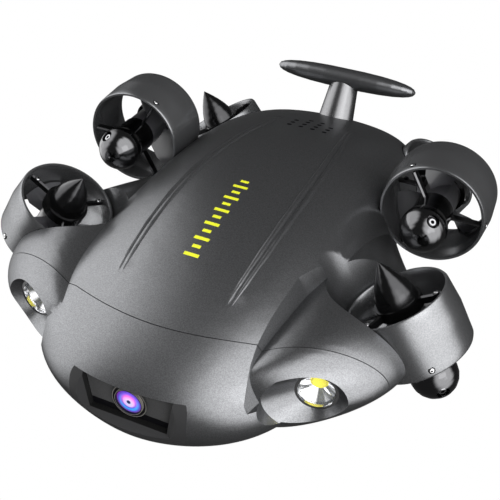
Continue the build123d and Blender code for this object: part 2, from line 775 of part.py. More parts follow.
# Whole hull before it is parted into shells
with BuildPart() as hull:
    add(hull_loft(0, STATIONS))
    for sign in (1, -1):
        add(valley_wedge(sign, 0), mode=Mode.SUBTRACT)
        add(shoulder_loft(sign))
    add(slab(0, HULL_CROWN * 2), mode=Mode.INTERSECT)
    for t in THRUSTERS:
        add(room_of(t, SEAT_CLEARANCE), mode=Mode.SUBTRACT)
    for sign in (1, -1):
        add(lamp_room(sign, 0), mode=Mode.SUBTRACT)
    add(cavity.part, mode=Mode.SUBTRACT)
    add(post_cylinder(POST_BASE_RADIUS + FIT_GAP, 0, POST_LENGTH * 2), mode=Mode.SUBTRACT)
    add(post_cylinder(STUD_RADIUS + FIT_GAP, -STUD_HULL_DEPTH, 0), mode=Mode.SUBTRACT)
    with BuildSketch(Plane.XZ.offset(-TAIL_REACH + INLET_SEAT_DEPTH)):
        with Locations((0, INLET_Z)):
            Circle(INLET_RADIUS + FIT_GAP)
    extrude(amount=-INLET_SEAT_DEPTH * 2, mode=Mode.SUBTRACT)

# Nose shell: the camera recess and everything in front of the joint line
with BuildPart() as nose_shell:
    add(hull.part)
    add(seam_region(0), mode=Mode.INTERSECT)
    add(recess_prism(RECESS_LIP_Y, RECESS_FLOOR_Y, 0), mode=Mode.SUBTRACT)
    add(recess_flare(), mode=Mode.SUBTRACT)
    add(nose_cylinder(BARREL_RADIUS + FIT_GAP, RECESS_FLOOR_Y + BARREL_LENGTH, RECESS_FLOOR_Y),
        mode=Mode.SUBTRACT)
write(nose_shell.part, "nose_shell")

# Shells behind the joint line, parted at the waist
with BuildPart() as rear_hull:
    add(hull.part)
    add(seam_region(SEAM_GAP), mode=Mode.SUBTRACT)

with BuildPart() as lower_hull:
    add(rear_hull.part)
    add(slab(-1, WAIST_Z - WAIST_GAP), mode=Mode.INTERSECT)
    with BuildSketch(Plane.XY):
        with Locations((0, BELLY_CENTRE_Y)):
            with GridLocations(BELLY_HOLE_SPACING_X, BELLY_HOLE_SPACING_Y, 2, 2):
                Circle(BELLY_HOLE_RADIUS)
    extrude(amount=BELLY_HOLE_DEPTH, mode=Mode.SUBTRACT)
write(lower_hull.part, "lower_hull")

with BuildPart() as upper_hull:
    add(rear_hull.part)
    add(slab(WAIST_Z, HULL_CROWN * 2), mode=Mode.INTERSECT)
    for sign in (1, -1):
        for offset in (-RIB_PITCH / 2, RIB_PITCH / 2):
            add(rib_part(sign, offset))
write(upper_hull.part, "upper_hull")

# Camera
BEZEL_FACE_Y = RECESS_FLOOR_Y - BEZEL_THICK
LENS_RING_FRONT = BEZEL_FACE_Y - LENS_RING_LENGTH
with BuildPart() as camera_bezel:
    add(recess_prism(RECESS_FLOOR_Y - BEZEL_THICK, RECESS_FLOOR_Y, BEZEL_CLEARANCE))
    add(nose_cylinder(BARREL_RADIUS + FIT_GAP, RECESS_FLOOR_Y + 1, RECESS_FLOOR_Y - BEZEL_THICK - 1),
        mode=Mode.SUBTRACT)
write(camera_bezel.part, "camera_bezel")

with BuildPart() as camera_barrel:
    add(nose_cylinder(BARREL_RADIUS, RECESS_FLOOR_Y + BARREL_LENGTH, RECESS_FLOOR_Y - BEZEL_THICK))
write(camera_barrel.part, "camera_barrel")

with BuildPart() as lens_ring:
    with BuildSketch(Plane.XY.offset(CAMERA_Z)):
        with BuildLine():
            Polyline((LENS_RADIUS + FIT_GAP, BEZEL_FACE_Y), (LENS_RING_RADIUS, BEZEL_FACE_Y),
                     (LENS_RING_RADIUS, BEZEL_FACE_Y - RING_STEP),
                     (LENS_RING_RADIUS - RING_LIP, BEZEL_FACE_Y - RING_STEP),
                     (LENS_RING_RADIUS - RING_LIP, BEZEL_FACE_Y - RING_STEP / 2),
                     (LENS_RADIUS + RING_LIP, BEZEL_FACE_Y - RING_STEP / 2),
                     (LENS_RADIUS + RING_LIP, LENS_RING_FRONT), (LENS_RADIUS + FIT_GAP, LENS_RING_FRONT),
                     close=True)
        make_face()
    revolve(axis=Axis((0, 0, CAMERA_Z), (0, 1, 0)))
write(lens_ring.part, "lens_ring")

DOME_RADIUS = (LENS_RADIUS ** 2 + LENS_DOME_RISE ** 2) / (2 * LENS_DOME_RISE)
LENS_FRONT = BEZEL_FACE_Y - LENS_SEAT_DEPTH
with BuildPart() as camera_lens:
    add(nose_cylinder(LENS_RADIUS, BEZEL_FACE_Y, LENS_FRONT))
    with Locations((0, LENS_FRONT + DOME_RADIUS, CAMERA_Z)):
        Sphere(DOME_RADIUS, mode=Mode.INTERSECT)
write(camera_lens.part, "camera_lens")

# Lamps
for hand, sign in (("right", 1), ("left", -1)):
    write(lamp_cup(sign), "lamp_cup_" + hand)
    write(lamp_disc(sign, LAMP_CHIP_RADIUS, -LAMP_RING_LENGTH - LAMP_CUP_DEPTH, LAMP_CHIP_THICK),
          "lamp_chip_" + hand)
    write(lamp_disc(sign, LAMP_RING_RADIUS - LAMP_RING_WALL - FIT_GAP, -LAMP_RING_LENGTH, LAMP_WINDOW_THICK),
          "lamp_window_" + hand)

# Handle
with BuildPart() as handle_post:
    add(post_cone(0))
    add(post_cylinder(STUD_RADIUS + FIT_GAP, 0, POST_LENGTH), mode=Mode.SUBTRACT)
write(handle_post.part, "handle_post")

GRIP_CENTRE = POST_PLANE.origin + POST_PLANE.z_dir * (POST_LENGTH - GRIP_SEAT_DEPTH + GRIP_THICK / 2)
with BuildPart() as handle_grip:
    for share in (-0.998, -0.97, -0.92, -0.84, -0.7, -0.5, -0.25, 0.25, 0.5, 0.7, 0.84, 0.92, 0.97, 0.998):
        swell = fall(abs(share), GRIP_POWER, GRIP_POWER)
        with BuildSketch(Plane(origin=GRIP_CENTRE + Vector(share * GRIP_HALF_LENGTH, 0, 0),
                               x_dir=POST_PLANE.y_dir, z_dir=(1, 0, 0))):
            Ellipse(GRIP_WIDTH / 2 * swell, GRIP_THICK / 2 * swell)
    loft(ruled=True)
    add(post_cone(FIT_GAP), mode=Mode.SUBTRACT)
    add(post_cylinder(STUD_RADIUS + FIT_GAP, 0, POST_LENGTH + STUD_GRIP_DEPTH), mode=Mode.SUBTRACT)
write(handle_grip.part, "handle_grip")

write(post_cylinder(STUD_RADIUS, -STUD_HULL_DEPTH, POST_LENGTH + STUD_GRIP_DEPTH), "handle_stud")

# Tether connector
with BuildPart() as tether_connector:
    with BuildSketch(Plane.XZ.offset(-TAIL_REACH + INLET_SEAT_DEPTH)):
        with Locations((0, INLET_Z)):
            Circle(INLET_RADIUS)
    extrude(amount=-INLET_SEAT_DEPTH - INLET_STAND_OUT)
    with BuildSketch(Plane.XZ.offset(-TAIL_REACH - INLET_STAND_OUT)):
        with Locations((0, INLET_Z)):
            Circle(INLET_BORE_RADIUS)
    extrude(amount=INLET_BORE_DEPTH, mode=Mode.SUBTRACT)
write(tether_connector.part, "tether_connector")

# Inner pieces, standing on the belly floor
with BuildPart() as pressure_can:
    with BuildSketch(Plane.XZ.offset(-CAN_REAR_Y)):
        with Locations((0, BELLY_THICK + CAN_RADIUS)):
            Circle(CAN_RADIUS)
        with Locations((0, BELLY_THICK + CAN_RADIUS / 2)):
            Rectangle(CAN_FOOT_WIDTH, CAN_RADIUS)
    extrude(amount=CAN_REAR_Y - CAN_FRONT_Y)
write(pressure_can.part, "pressure_can")

with BuildPart() as battery_pack:
    with BuildSketch(Plane.XY.offset(BELLY_THICK)):
        with Locations((0, PACK_FRONT_Y + PACK_LENGTH / 2)):
            RectangleRounded(PACK_WIDTH, PACK_LENGTH, PACK_CORNER)
    extrude(amount=PACK_HEIGHT)
write(battery_pack.part, "battery_pack")

with BuildPart() as control_board:
    with BuildSketch(Plane.XY.offset(BELLY_THICK + PACK_HEIGHT)):
        with Locations((0, PACK_FRONT_Y + PACK_LENGTH / 2)):
            Rectangle(BOARD_WIDTH, BOARD_LENGTH)
    extrude(amount=BOARD_THICK)
write(control_board.part, "control_board")

# Thrusters
for t in THRUSTERS:
    write(duct_part(t), "duct_" + t.name)
    write(pod_part(t), "motor_pod_" + t.name)
    write(guard_part(t), "tail_guard_" + t.name)
    write(propeller_part(t), "propeller_" + t.name)
    write(shaft_part(t), "shaft_" + t.name)
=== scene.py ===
import json
import math

import bpy
from mathutils import Matrix, Vector
from mathutils.bvhtree import BVHTree


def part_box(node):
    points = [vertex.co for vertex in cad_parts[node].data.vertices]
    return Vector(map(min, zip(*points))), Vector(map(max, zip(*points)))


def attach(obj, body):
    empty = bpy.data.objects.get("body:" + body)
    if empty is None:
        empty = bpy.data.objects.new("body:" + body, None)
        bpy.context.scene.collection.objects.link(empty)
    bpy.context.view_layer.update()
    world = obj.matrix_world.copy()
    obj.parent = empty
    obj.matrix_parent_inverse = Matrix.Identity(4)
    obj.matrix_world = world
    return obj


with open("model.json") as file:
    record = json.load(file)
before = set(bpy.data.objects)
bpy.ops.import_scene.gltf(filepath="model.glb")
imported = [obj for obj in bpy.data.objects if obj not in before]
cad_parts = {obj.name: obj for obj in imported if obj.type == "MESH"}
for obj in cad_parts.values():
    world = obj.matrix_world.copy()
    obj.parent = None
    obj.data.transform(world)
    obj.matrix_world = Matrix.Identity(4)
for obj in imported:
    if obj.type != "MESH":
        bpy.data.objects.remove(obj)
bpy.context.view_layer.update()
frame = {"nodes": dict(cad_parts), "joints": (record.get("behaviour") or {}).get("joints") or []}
NODES = frame["nodes"]

MM = 0.001
SMOOTH_ANGLE = math.radians(32)
WELD_REACH = 0.002 * MM

# Camera at the photograph's angle: place in metres and its three directions
CAMERA_AT = Vector((0.21563, -0.52322, 0.44393))
CAMERA_RIGHT = Vector((0.90946, 0.41443, 0.03377))
CAMERA_UP = Vector((-0.26472, 0.51447, 0.81562))
CAMERA_AHEAD = Vector((-0.32064, 0.75071, -0.57759))
LENS_MM = 65.706

# Paint: fleck and grain on the surface, and a weak mirror at a flat angle, unlike bare metal
GRAIN_SCALE = 1500.0
GRAIN_STRENGTH = 0.03
GRAIN_DEPTH = 0.2 * MM
EDGE_TINT = (0.4, 0.4, 0.4, 1)

# Gloss: faint clouds between the colour and a slightly darker shade
CLOUD_SCALE = 60.0
CLOUD_SHADE = 0.94

# Where a noise has its low and its high tone
TONE_FROM = 0.35
TONE_TO = 0.65

# Sockets of the colour mix node, which has one set for each kind of value
MIX_SHARE, MIX_FIRST, MIX_SECOND, MIX_RESULT = 0, 6, 7, 2


def shader(name):
    """A new material and its surface shader."""
    material = bpy.data.materials.new(name)
    material.use_nodes = True
    return material, material.node_tree.nodes["Principled BSDF"]


def link(material, out_socket, in_socket):
    material.node_tree.links.new(out_socket, in_socket)


def set_sockets(node, values):
    """Set a node's sockets by their names."""
    for socket, value in values.items():
        node.inputs[socket].default_value = value


def noise(material, scale):
    """Noise on the object's own coordinates, so it stays on the surface from every side."""
    tree = material.node_tree
    place = tree.nodes.new("ShaderNodeTexCoord")
    grain = tree.nodes.new("ShaderNodeTexNoise")
    set_sockets(grain, {"Scale": scale, "Detail": 3.0})
    tree.links.new(place.outputs["Object"], grain.inputs["Vector"])
    return grain.outputs["Fac"]


def colour_ramp(material, value, stops):
    """Colours along a value from 0 to 1."""
    ramp = material.node_tree.nodes.new("ShaderNodeValToRGB")
    while len(ramp.color_ramp.elements) < len(stops):
        ramp.color_ramp.elements.new(0.5)
    for element, (position, colour) in zip(ramp.color_ramp.elements, stops):
        element.position = position
        element.color = (*colour, 1)
    link(material, value, ramp.inputs["Fac"])
    return ramp.outputs["Color"]


def tone(material, scale, low, high):
    """Noise between two colours."""
    return colour_ramp(material, noise(material, scale), [(TONE_FROM, low), (TONE_TO, high)])


def fine_bump(material, surface):
    """Fine grain in the surface."""
    bump = material.node_tree.nodes.new("ShaderNodeBump")
    set_sockets(bump, {"Strength": GRAIN_STRENGTH, "Distance": GRAIN_DEPTH})
    link(material, noise(material, GRAIN_SCALE), bump.inputs["Height"])
    link(material, bump.outputs["Normal"], surface.inputs["Normal"])


def metal_paint(name, low, high, metallic, roughness):
    """Satin paint with a faint metallic fleck."""
    material, surface = shader(name)
    set_sockets(surface, {"Metallic": metallic, "Roughness": roughness, "Specular Tint": EDGE_TINT})
    link(material, tone(material, GRAIN_SCALE, low, high), surface.inputs["Base Color"])
    fine_bump(material, surface)
    return material


def gloss(name, colour, roughness, coat=0.0, metallic=0.0, glow=0.0, shine=0.5):
    """Smooth glossy plastic or metal, which may glow faintly."""
    material, surface = shader(name)
    set_sockets(surface, {
        "Specular IOR Level": shine, "Metallic": metallic, "Roughness": roughness,
        "Coat Weight": coat, "Coat Roughness": 0.05,
        "Emission Color": (*colour, 1), "Emission Strength": glow,
    })
    shade = tuple(c * CLOUD_SHADE for c in colour)
    link(material, tone(material, CLOUD_SCALE, shade, colour), surface.inputs["Base Color"])
    return material


def see_through(name, tint):
    """Thin clear glass that lets the light pass straight."""
    material, surface = shader(name)
    set_sockets(surface, {
        "Base Color": (*tint, 1), "Roughness": 0.02, "Alpha": 0.07, "Specular IOR Level": 0.5,
    })
    return material


def radial(material, node, axis_flat):
    """Place across a round node and distance from its middle, as shares of its radius."""
    low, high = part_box(node)
    centre = (low + high) / 2
    radius = (high.x - low.x) / 2
    tree = material.node_tree
    place = tree.nodes.new("ShaderNodeTexCoord")
    shift = tree.nodes.new("ShaderNodeVectorMath")
    shift.operation = "SUBTRACT"
    shift.inputs[1].default_value = centre
    flat = tree.nodes.new("ShaderNodeVectorMath")
    flat.operation = "MULTIPLY"
    flat.inputs[1].default_value = [keep / radius for keep in axis_flat]
    reach = tree.nodes.new("ShaderNodeVectorMath")
    reach.operation = "LENGTH"
    tree.links.new(place.outputs["Object"], shift.inputs[0])
    tree.links.new(shift.outputs["Vector"], flat.inputs[0])
    tree.links.new(flat.outputs["Vector"], reach.inputs[0])
    return flat.outputs["Vector"], reach.outputs["Value"]


def mixed(material, share, first, second):
    """The first colour where the share is 0 and the second, a colour or a socket, where it is 1."""
    mix = material.node_tree.nodes.new("ShaderNodeMix")
    mix.data_type = "RGBA"
    link(material, share, mix.inputs[MIX_SHARE])
    link(material, first, mix.inputs[MIX_FIRST])
    if isinstance(second, tuple):
        mix.inputs[MIX_SECOND].default_value = (*second, 1)
    else:
        link(material, second, mix.inputs[MIX_SECOND])
    return mix.outputs[MIX_RESULT]


# Coating of the lens, its colours and reflected rings painted in, and turned edges of its ring,
# from the middle outwards
PINK_REFLECTION_RINGS = [
    (0.0, (0.02, 0.05, 0.25)), (0.12, (0.01, 0.01, 0.05)), (0.2, (0.95, 0.55, 0.95)),
    (0.36, (1.0, 0.35, 0.85)), (0.5, (0.95, 0.18, 0.75)), (0.68, (0.25, 0.12, 0.85)),
    (0.86, (0.10, 0.05, 0.55)), (1.0, (0.30, 0.04, 0.45)),
]
BLUE_REFLECTION_RINGS = [
    (0.0, (0.02, 0.05, 0.25)), (0.12, (0.01, 0.01, 0.05)), (0.2, (0.45, 0.65, 1.0)),
    (0.4, (0.75, 0.55, 1.0)), (0.54, (0.08, 0.10, 0.75)), (0.7, (0.05, 0.45, 1.0)),
    (0.86, (0.10, 0.12, 0.70)), (1.0, (0.20, 0.05, 0.45)),
]
TURNED_EDGES = [
    (0.0, (0.02, 0.02, 0.022)), (0.76, (0.02, 0.02, 0.022)), (0.79, (0.55, 0.52, 0.48)),
    (0.82, (0.02, 0.02, 0.022)), (0.94, (0.02, 0.02, 0.022)), (0.97, (0.5, 0.48, 0.45)),
    (1.0, (0.06, 0.06, 0.06)),
]


def lens_with_painted_reflection(name):
    """Camera lens with painted reflections: the coloured rings of its coating, bluer below and
    pinker above, also glow faintly.
    """
    material, surface = shader(name)
    spot, reach = radial(material, "camera_lens", (1, 0, 1))
    pink = colour_ramp(material, reach, PINK_REFLECTION_RINGS)
    blue = colour_ramp(material, reach, BLUE_REFLECTION_RINGS)
    split = material.node_tree.nodes.new("ShaderNodeSeparateXYZ")
    link(material, spot, split.inputs["Vector"])
    side = material.node_tree.nodes.new("ShaderNodeMapRange")
    set_sockets(side, {"From Min": -0.5, "From Max": 0.5})
    link(material, split.outputs["Z"], side.inputs["Value"])
    coating = mixed(material, side.outputs["Result"], blue, pink)
    link(material, coating, surface.inputs["Base Color"])
    link(material, coating, surface.inputs["Emission Color"])
    # Painted reflection: the coating's colours glow faintly, though the lens is no lamp
    set_sockets(surface, {
        "Emission Strength": 0.35, "Roughness": 0.12, "Coat Weight": 1.0, "Coat Roughness": 0.02,
    })
    return material


def ringed(name):
    """Dark anodised ring with two bright turned edges."""
    material, surface = shader(name)
    reach = radial(material, "lens_ring", (1, 0, 1))[1]
    link(material, colour_ramp(material, reach, TURNED_EDGES), surface.inputs["Base Color"])
    set_sockets(surface, {"Metallic": 0.6, "Roughness": 0.3})
    return material


def calc(material, operation, first, second=0.0):
    """One sum on two values, each a number or the result of another sum."""
    step = material.node_tree.nodes.new("ShaderNodeMath")
    step.operation = operation
    for socket, value in zip(step.inputs, (first, second)):
        if isinstance(value, float):
            socket.default_value = value
        else:
            link(material, value, socket)
    return step.outputs["Value"]


# Camera recess and the rounded panel round it, both painted as shade, in metres from the middle of
# the camera plate
PANEL_HALF = 0.040
PANEL_RISE = 0.022
PANEL_DROP = 0.002
PANEL_POWER = 4.0
RECESS_HALF_WIDTH = 0.02865
RECESS_HALF_HEIGHT = 0.01285
RECESS_LEAN = 0.157
PANEL_SHADE_COLOUR = (0.035, 0.035, 0.036)
PANEL_METALLIC = 0.1
PANEL_ROUGHER = 0.15
RECESS_SHADE_COLOUR = (0.012, 0.012, 0.012)
RECESS_SMOOTHER = 0.25


def nose_paint_with_shade(name, low_tone, high_tone, metallic, roughness):
    """Hull paint with painted shade: a darker panel round the camera recess and black recess walls.
    """
    material, surface = shader(name)
    set_sockets(surface, {"Specular Tint": EDGE_TINT, "Specular IOR Level": 0.2})
    low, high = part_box("camera_bezel")
    place = material.node_tree.nodes.new("ShaderNodeTexCoord")
    split = material.node_tree.nodes.new("ShaderNodeSeparateXYZ")
    link(material, place.outputs["Object"], split.inputs["Vector"])
    x = calc(material, "ABSOLUTE", split.outputs["X"])
    z = calc(material, "SUBTRACT", split.outputs["Z"], (low.z + high.z) / 2)

    across = calc(material, "POWER", calc(material, "DIVIDE", x, PANEL_HALF), PANEL_POWER)
    rise = calc(material, "DIVIDE", calc(material, "ADD", z, PANEL_DROP), PANEL_RISE)
    along = calc(material, "POWER", calc(material, "ABSOLUTE", rise), PANEL_POWER)
    rounded = calc(material, "LESS_THAN", calc(material, "ADD", across, along), 1.0)
    below_top = calc(material, "LESS_THAN", z, RECESS_HALF_HEIGHT)
    shaded_panel = calc(material, "MULTIPLY", rounded, below_top)

    lean = calc(material, "MULTIPLY", z, RECESS_LEAN)
    side = calc(material, "ADD", lean, RECESS_HALF_WIDTH)
    within = calc(material, "LESS_THAN", calc(material, "ABSOLUTE", z), RECESS_HALF_HEIGHT)
    inner = calc(material, "MULTIPLY", calc(material, "LESS_THAN", x, side), within)

    # Painted shade: the panel darker and the recess walls black; the panel is also less metallic
    # and rougher
    dark = mixed(material, shaded_panel, tone(material, GRAIN_SCALE, low_tone, high_tone), PANEL_SHADE_COLOUR)
    link(material, mixed(material, inner, dark, RECESS_SHADE_COLOUR), surface.inputs["Base Color"])
    less_metal = calc(material, "MULTIPLY", shaded_panel, metallic - PANEL_METALLIC)
    link(material, calc(material, "SUBTRACT", metallic, less_metal), surface.inputs["Metallic"])
    rough = calc(material, "ADD", calc(material, "MULTIPLY", shaded_panel, PANEL_ROUGHER), roughness)
    smoother = calc(material, "MULTIPLY", inner, RECESS_SMOOTHER)
    link(material, calc(material, "SUBTRACT", rough, smoother), surface.inputs["Roughness"])
    fine_bump(material, surface)
    return material


# Low tone, high tone, metallic and roughness of each paint
HULL_TONES = ((0.165, 0.168, 0.174), (0.245, 0.248, 0.256), 0.9, 0.3)
DUCT_TONES = ((0.205, 0.208, 0.215), (0.275, 0.278, 0.286), 0.88, 0.27)
POST_TONES = ((0.185, 0.185, 0.19), (0.22, 0.22, 0.225), 0.95, 0.27)
BEZEL_TONES = ((0.055, 0.055, 0.056), (0.07, 0.07, 0.071), 0.1, 0.6)

NOSE = nose_paint_with_shade("nose_satin_painted_shade", *HULL_TONES)
HULL = metal_paint("hull_satin", *HULL_TONES)
YELLOW = gloss("mark_yellow", (0.75, 0.78, 0.02), 0.5)
# Black with almost no shine: painted shade inside holes, sockets and gaps
HOLE_SHADE_BLACK = gloss("hole_painted_shade", (0.004, 0.004, 0.005), 0.6, shine=0.05)
CHROME = gloss("screw_chrome", (0.75, 0.75, 0.76), 0.15, metallic=1.0)
STEEL = gloss("plug_steel", (0.35, 0.35, 0.36), 0.25, metallic=1.0)

# The look of each node, by the start of its name
LOOKS = {
    "nose_shell": NOSE, "upper_hull": HULL, "lower_hull": HULL, "handle_grip": HULL,
    "duct_": metal_paint("duct_satin", *DUCT_TONES),
    "motor_pod_": gloss("pod_black", (0.13, 0.13, 0.134), 0.14, metallic=1.0),
    "tail_guard_": gloss("guard_black", (0.055, 0.055, 0.057), 0.18, metallic=0.95),
    "propeller_": gloss("propeller_grey", (0.06, 0.06, 0.066), 0.3, coat=0.3),
    "shaft_": gloss("shaft_steel", (0.6, 0.6, 0.6), 0.25, metallic=1.0),
    "camera_bezel": metal_paint("bezel_grey", *BEZEL_TONES),
    "camera_barrel": gloss("barrel_black", (0.008, 0.008, 0.01), 0.3),
    "camera_lens": lens_with_painted_reflection("lens_painted_reflection"),
    "lens_ring": ringed("lens_ring_turned"),
    "lamp_cup_": gloss("lamp_chrome", (0.82, 0.82, 0.83), 0.08, metallic=1.0),
    "lamp_chip_": gloss("lamp_yellow", (0.95, 0.85, 0.02), 0.4, glow=0.5),
    "lamp_window_": see_through("lamp_glass", (0.9, 0.95, 1.0)),
    "handle_post": metal_paint("post_silver", *POST_TONES),
    "handle_stud": gloss("stud_steel", (0.5, 0.5, 0.5), 0.3, metallic=1.0),
    "tether_connector": gloss("connector_black", (0.02, 0.02, 0.02), 0.5),
    "pressure_can": gloss("can_metal", (0.5, 0.5, 0.52), 0.3, metallic=1.0),
    "battery_pack": gloss("battery_blue", (0.05, 0.08, 0.25), 0.5),
    "control_board": gloss("board_green", (0.02, 0.15, 0.06), 0.5),
}

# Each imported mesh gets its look, and smooth shading that stops at real edges
for name, node in NODES.items():
    look = next(material for start, material in LOOKS.items() if name.startswith(start))
    node.data.materials.clear()
    node.data.materials.append(look)
    weld = node.modifiers.new("weld", "WELD")
    weld.merge_threshold = WELD_REACH
    split = node.modifiers.new("split", "EDGE_SPLIT")
    split.split_angle = SMOOTH_ANGLE
    split.use_edge_sharp = False
    even = node.modifiers.new("even", "WEIGHTED_NORMAL")
    even.mode = "FACE_AREA_WITH_ANGLE"


def placed(name, data):
    """A new object in the scene for a mesh, a light or a camera."""
    item = bpy.data.objects.new(name, data)
    bpy.context.scene.collection.objects.link(item)
    return item


# Marks and holes that follow the hull's skin
SKIN_MESH = NODES["upper_hull"].data
SKIN = BVHTree.FromPolygons([v.co.copy() for v in SKIN_MESH.vertices],
                            [tuple(face.vertices) for face in SKIN_MESH.polygons])


def on_skin(x, y, lift):
    """Point above the hull's top at a place in plan."""
    spot, normal, face, drop = SKIN.ray_cast(Vector((x, y, 1)), Vector((0, 0, -1)))
    return spot + normal * lift


def skin_patch(name, outline, middle, look, lift):
    """Thin raised patch whose rim and middle lie on the hull's skin."""
    mesh = bpy.data.meshes.new(name)
    top = [on_skin(x, y, lift) for x, y in outline]
    foot = [on_skin(x, y, -lift) for x, y in outline]
    count = len(outline)
    faces = [(k, (k + 1) % count, 2 * count) for k in range(count)]
    faces += [(k + count, (k + 1) % count + count, (k + 1) % count, k) for k in range(count)]
    mesh.from_pydata(top + foot + [on_skin(*middle, lift)], [], faces)
    mesh.materials.append(look)
    patch = placed(name, mesh)
    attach(patch, "vehicle")


# Row of yellow bars along the middle, every second one short
MARK_COUNT = 12
MARK_FIRST_Y = -0.1115
MARK_PITCH = 0.0072
MARK_WIDTH = 0.0026
MARK_REACH = 0.0052
MARK_SHORT = 0.55
MARK_LIFT = 0.00012
for number in range(MARK_COUNT):
    middle_y = MARK_FIRST_Y + MARK_PITCH * number
    reach = MARK_REACH * (1.0 if number % 2 == 0 else MARK_SHORT)
    half = MARK_WIDTH / 2
    rim = [(-reach, middle_y - half), (0, middle_y - half), (reach, middle_y - half),
           (reach, middle_y + half), (0, middle_y + half), (-reach, middle_y + half)]
    skin_patch("deck_mark_%02d" % (number + 1), rim, (0, middle_y), YELLOW, MARK_LIFT)

# Small holes before the handle, flat black discs as painted shade: the rows' places along the deck,
# and each column's rows
HOLE_RADIUS = 0.0020
HOLE_LIFT = 0.00008
HOLE_SIDES = 16
HOLE_ROWS = (0.085, 0.093, 0.101, 0.109)
HOLE_COLUMNS = ((-0.0148, 3), (-0.0049, 4), (0.0049, 4), (0.0148, 3))
TURNS = [math.tau * k / HOLE_SIDES for k in range(HOLE_SIDES)]
number = 0
for x, rows in HOLE_COLUMNS:
    for y in HOLE_ROWS[:rows]:
        number += 1
        rim = [(x + HOLE_RADIUS * math.cos(a), y + HOLE_RADIUS * math.sin(a)) for a in TURNS]
        skin_patch("deck_hole_%02d" % number, rim, (x, y), HOLE_SHADE_BLACK, HOLE_LIFT)

TURNED_SIDES = 24


def turned(name, at, direction, rings, looks):
    """Small turned piece along a direction, closed at its end.

    Each ring has its radius and height in millimetres and the number of its look."""
    turn = Vector(direction).to_track_quat("Z", "Y").to_matrix()
    points, faces, numbers = [], [], []
    for radius, height, look in rings:
        for k in range(TURNED_SIDES):
            a = math.tau * k / TURNED_SIDES
            point = Vector((radius * MM * math.cos(a), radius * MM * math.sin(a), height * MM))
            points.append(Vector(at) + turn @ point)
    for ring in range(len(rings) - 1):
        for k in range(TURNED_SIDES):
            low, side = ring * TURNED_SIDES + k, ring * TURNED_SIDES + (k + 1) % TURNED_SIDES
            faces.append((low, side, side + TURNED_SIDES, low + TURNED_SIDES))
            numbers.append(rings[ring + 1][2])
    faces.append(tuple((len(rings) - 1) * TURNED_SIDES + k for k in range(TURNED_SIDES)))
    numbers.append(rings[-1][2])
    mesh = bpy.data.meshes.new(name)
    mesh.from_pydata(points, [], faces)
    for look in looks:
        mesh.materials.append(look)
    for face, look_number in zip(mesh.polygons, numbers):
        face.material_index = look_number
    mesh.shade_smooth()
    mesh.set_sharp_from_angle(angle=SMOOTH_ANGLE)
    piece = placed(name, mesh)
    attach(piece, "vehicle")


# Screws on the ducts and the guards, and the plug in each pod's port, with their sockets and the
# gaps round them painted black as shade
SCREW_RINGS = [(2.3, -0.4, 0), (2.3, 0.08, 0), (1.6, 0.08, 0), (1.6, 0.5, 1),
               (1.2, 0.85, 1), (0.7, 0.9, 1), (0.6, 0.3, 0)]
SCREW_LOOKS = [HOLE_SHADE_BLACK, CHROME]
BOSS_RINGS = [(2.1, -1.6, 0), (2.1, 0.2, 0), (1.7, 0.5, 0), (1.4, 0.5, 1),
              (1.4, 1.0, 1), (0.7, 1.1, 1), (0.6, 0.4, 2)]
BOSS_LOOKS = [LOOKS["tail_guard_"], CHROME, HOLE_SHADE_BLACK]
PLUG_RINGS = [(4.3, 12.0, 0), (4.3, 12.6, 0), (3.2, 12.6, 0), (3.0, 14.2, 1),
              (2.4, 14.8, 1), (1.3, 14.8, 1), (1.2, 13.6, 0)]
PLUG_LOOKS = [HOLE_SHADE_BLACK, STEEL]

# Places on each duct, from its front mouth along the axis and outwards from it
DUCT_OUTER = {"mid": 37.67 * MM, "front": 35.37 * MM, "rear": 35.37 * MM}
SCREW_TURN = {"mid": 0, "front": 60, "rear": 60}
BOSS_TURN = {"mid": 60, "front": 0, "rear": 0}
SCREW_COUNT = 3
SCREW_PITCH = 120
SCREW_PLACE = 4.6 * MM
BOSS_PLACE = 39.9 * MM
BOSS_INSET = 8.2 * MM
PORT_BACK = 18.8 * MM
PORT_ANGLE = math.radians(62)
PORT_SWING = math.radians(60)


def spoke(outward, across, degrees):
    """Direction straight out of a duct's axis at an angle."""
    a = math.radians(degrees)
    return outward * math.cos(a) + across * math.sin(a)


for joint in frame["joints"]:
    where = joint["name"].removeprefix("spin_")
    group = where.split("_")[0]
    origin, axis = Vector(joint["pos_m"]), Vector(joint["axis"])
    side = 1 if origin.x > 0 else -1
    leaning = Vector((side * axis.z, 0, -side * axis.x))
    outward = Vector((side, 0, 0)) if group == "mid" else leaning
    across = axis.cross(outward)
    outer = DUCT_OUTER[group]
    for number in range(SCREW_COUNT):
        out = spoke(outward, across, SCREW_TURN[group] + SCREW_PITCH * number)
        turned("screw_%s_%d" % (where, number + 1), origin + axis * SCREW_PLACE + out * outer,
               out, SCREW_RINGS, SCREW_LOOKS)
        out = spoke(outward, across, BOSS_TURN[group] + SCREW_PITCH * number)
        turned("guard_screw_%s_%d" % (where, number + 1),
               origin + axis * BOSS_PLACE + out * (outer - BOSS_INSET),
               axis, BOSS_RINGS, BOSS_LOOKS)
    swung = outward * math.cos(PORT_SWING) - across * (side * math.sin(PORT_SWING))
    facing = swung * math.sin(PORT_ANGLE) - axis * math.cos(PORT_ANGLE)
    turned("pod_plug_" + where, origin - axis * PORT_BACK, facing, PLUG_RINGS, PLUG_LOOKS)

